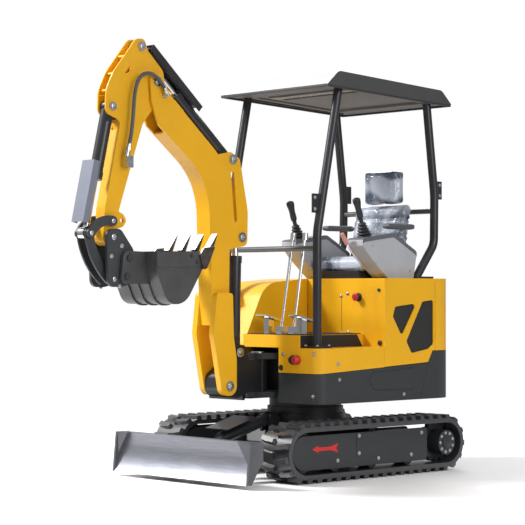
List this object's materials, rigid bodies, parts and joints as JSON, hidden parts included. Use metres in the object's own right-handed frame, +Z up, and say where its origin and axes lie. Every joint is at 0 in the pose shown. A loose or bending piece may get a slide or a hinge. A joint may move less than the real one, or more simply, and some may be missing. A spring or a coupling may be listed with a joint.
{
  "type": "mini excavator",
  "caption": "Tracked mini excavator with canopy, slewing house, swing boom, arm, curled bucket and dozer blade, for digging and grading.",
  "frame": {"origin": "middle of the footprint on the ground", "axes": "+X forward to the bucket, +Y to the operator's left, +Z up"},
  "size_m": [2.5568, 1.136, 2.4098],
  "materials": {
    "yellow_paint": "satin",
    "grey_paint": "satin",
    "dark_paint": "satin",
    "rubber": "matt",
    "bright_steel": "brushed",
    "cast_steel": "satin",
    "barrel_paint": "satin",
    "chrome": "polished",
    "roof_white": "satin",
    "lining_grey": "matt",
    "guard_paint": "satin",
    "black_tube": "satin",
    "seat_black": "satin",
    "dark_plastic": "matt",
    "grey_plastic": "matt",
    "red_plastic": "gloss"
  },
  "bodies": {
    "undercarriage": {"car_body": "dark_paint", "slew_ring_lower": "dark_paint", "track_frames": "dark_paint", "idlers": "dark_paint", "sprockets": "dark_paint", "rollers": "dark_paint", "track_left": "rubber", "track_right": "rubber"},
    "blade": {"blade_mouldboard": "bright_steel", "blade_cheeks": "dark_paint", "blade_arms": "dark_paint"},
    "blade_barrel": {"blade_barrel": "barrel_paint"},
    "blade_rod": {"blade_rod": "chrome"},
    "swing": {"swing_bracket": "dark_paint"},
    "boom": {"boom": "yellow_paint", "boom_pins": "bright_steel"},
    "boom_barrel": {"boom_barrel": "barrel_paint"},
    "boom_rod": {"boom_rod": "chrome"},
    "arm": {"arm": "yellow_paint", "arm_pins": "bright_steel", "arm_hose": "rubber"},
    "arm_barrel": {"arm_barrel": "barrel_paint"},
    "arm_rod": {"arm_rod": "chrome", "arm_rod_guard": "guard_paint"},
    "bucket_barrel": {"bucket_barrel": "barrel_paint"},
    "bucket_rod": {"bucket_rod": "chrome", "bucket_rod_guard": "bright_steel"},
    "rocker": {"rocker": "dark_paint"},
    "bucket_link": {"bucket_link": "dark_paint"},
    "bucket": {"coupler": "dark_paint", "bucket": "cast_steel", "bucket_teeth": "cast_steel"},
    "house": {"deck_frame": "grey_paint", "counterweight": "grey_paint", "skirts": "grey_paint", "step_box": "yellow_paint", "floor": "yellow_paint", "right_body": "yellow_paint", "hood_sides": "yellow_paint", "hood_rear": "yellow_paint", "hood_top": "yellow_paint", "seat_panel": "yellow_paint", "grilles": "black_tube", "engine": "cast_steel", "canopy_roof": "roof_white", "roof_frame": "lining_grey", "front_posts": "black_tube", "rear_posts": "black_tube", "post_rails": "black_tube", "seat_base": "dark_plastic", "seat_cushion": "seat_black", "seat_back": "seat_black", "headrest": "seat_black", "consoles": "grey_plastic", "joysticks": "dark_plastic", "armrests": "seat_black", "safety_lever": "red_plastic", "travel_levers": "bright_steel", "pedals": "bright_steel", "kingpost": "bright_steel"}
  },
  "joints": [
    {"name": "slew", "type": "hinge", "parent": "undercarriage", "child": "house", "pos_m": [-0.39842, 0, 0.345], "axis": [0, 0, 1], "continuous": true},
    {"name": "swing", "type": "hinge", "parent": "house", "child": "swing", "pos_m": [-0.01842, 0, 0.446], "axis": [0, 0, 1], "range_deg": [-50, 65]},
    {"name": "boom_lift", "type": "hinge", "parent": "swing", "child": "boom", "pos_m": [0.28158, 0, 0.522], "axis": [0, -1, 0], "range_deg": [-95, 6]},
    {"name": "arm_crowd", "type": "hinge", "parent": "boom", "child": "arm", "pos_m": [0.77658, 0, 2.185], "axis": [0, 1, 0], "range_deg": [-95, 3]},
    {"name": "bucket_curl", "type": "hinge", "parent": "arm", "child": "bucket", "pos_m": [1.09558, 0, 1.336], "axis": [0, 1, 0], "range_deg": [-90, 5]},
    {"name": "blade_lift", "type": "hinge", "parent": "undercarriage", "child": "blade", "pos_m": [-0.03842, 0, 0.185], "axis": [0, -1, 0], "range_deg": [-16, 16]},
    {"name": "boom_barrel_turn", "type": "hinge", "parent": "swing", "child": "boom_barrel", "pos_m": [0.16758, 0, 0.705], "axis": [0, -1, 0], "range_deg": [-102.47, 6.94]},
    {"name": "boom_rod_slide", "type": "slide", "parent": "boom_barrel", "child": "boom_rod", "axis": [-0.0169, 0, 0.9999], "range_m": [-0.02107, 0.30387]},
    {"name": "arm_barrel_turn", "type": "hinge", "parent": "boom", "child": "arm_barrel", "pos_m": [0.22658, 0, 1.79], "axis": [0, -1, 0], "range_deg": [-0.95, 14.67]},
    {"name": "arm_rod_slide", "type": "slide", "parent": "arm_barrel", "child": "arm_rod", "axis": [0.7468, 0, 0.6651], "range_m": [-0.254, 0.00996]},
    {"name": "blade_barrel_turn", "type": "hinge", "parent": "undercarriage", "child": "blade_barrel", "pos_m": [-0.10642, 0, 0.325], "axis": [0, -1, 0], "range_deg": [-13.44, 13.44]},
    {"name": "blade_rod_slide", "type": "slide", "parent": "blade_barrel", "child": "blade_rod", "axis": [0.9623, 0, -0.272], "range_m": [-0.03436, 0.03436]},
    {"name": "rocker_turn", "type": "hinge", "parent": "arm", "child": "rocker", "pos_m": [1.07958, 0, 1.422], "axis": [0, -1, 0], "range_deg": [-4.85, 78.8]},
    {"name": "bucket_link_turn", "type": "hinge", "parent": "rocker", "child": "bucket_link", "pos_m": [1.22658, 0, 1.355], "axis": [0, -1, 0], "range_deg": [-15.8, 1.35]},
    {"name": "bucket_barrel_turn", "type": "hinge", "parent": "arm", "child": "bucket_barrel", "pos_m": [1.07358, 0, 2.032], "axis": [0, -1, 0], "range_deg": [-0.61, 2.48]},
    {"name": "bucket_rod_slide", "type": "slide", "parent": "bucket_barrel", "child": "bucket_rod", "axis": [0.2204, 0, -0.9754], "range_m": [-0.20629, 0.01335]}
  ],
  "couplings": [
    {"joint": "boom_barrel_turn", "follows": "boom_lift", "ratio": 1.0734},
    {"joint": "boom_rod_slide", "follows": "boom_lift", "m_per_rad": -0.18206},
    {"joint": "arm_barrel_turn", "follows": "arm_crowd", "ratio": -0.14913},
    {"joint": "arm_rod_slide", "follows": "arm_crowd", "m_per_rad": 0.15198},
    {"joint": "blade_barrel_turn", "follows": "blade_lift", "ratio": 0.80867},
    {"joint": "blade_rod_slide", "follows": "blade_lift", "m_per_rad": -0.11588},
    {"joint": "rocker_turn", "follows": "bucket_curl", "ratio": -0.87},
    {"joint": "bucket_link_turn", "follows": "bucket_curl", "ratio": 0.17},
    {"joint": "bucket_barrel_turn", "follows": "bucket_curl", "ratio": -0.02198},
    {"joint": "bucket_rod_slide", "follows": "bucket_curl", "m_per_rad": 0.13006}
  ]
}
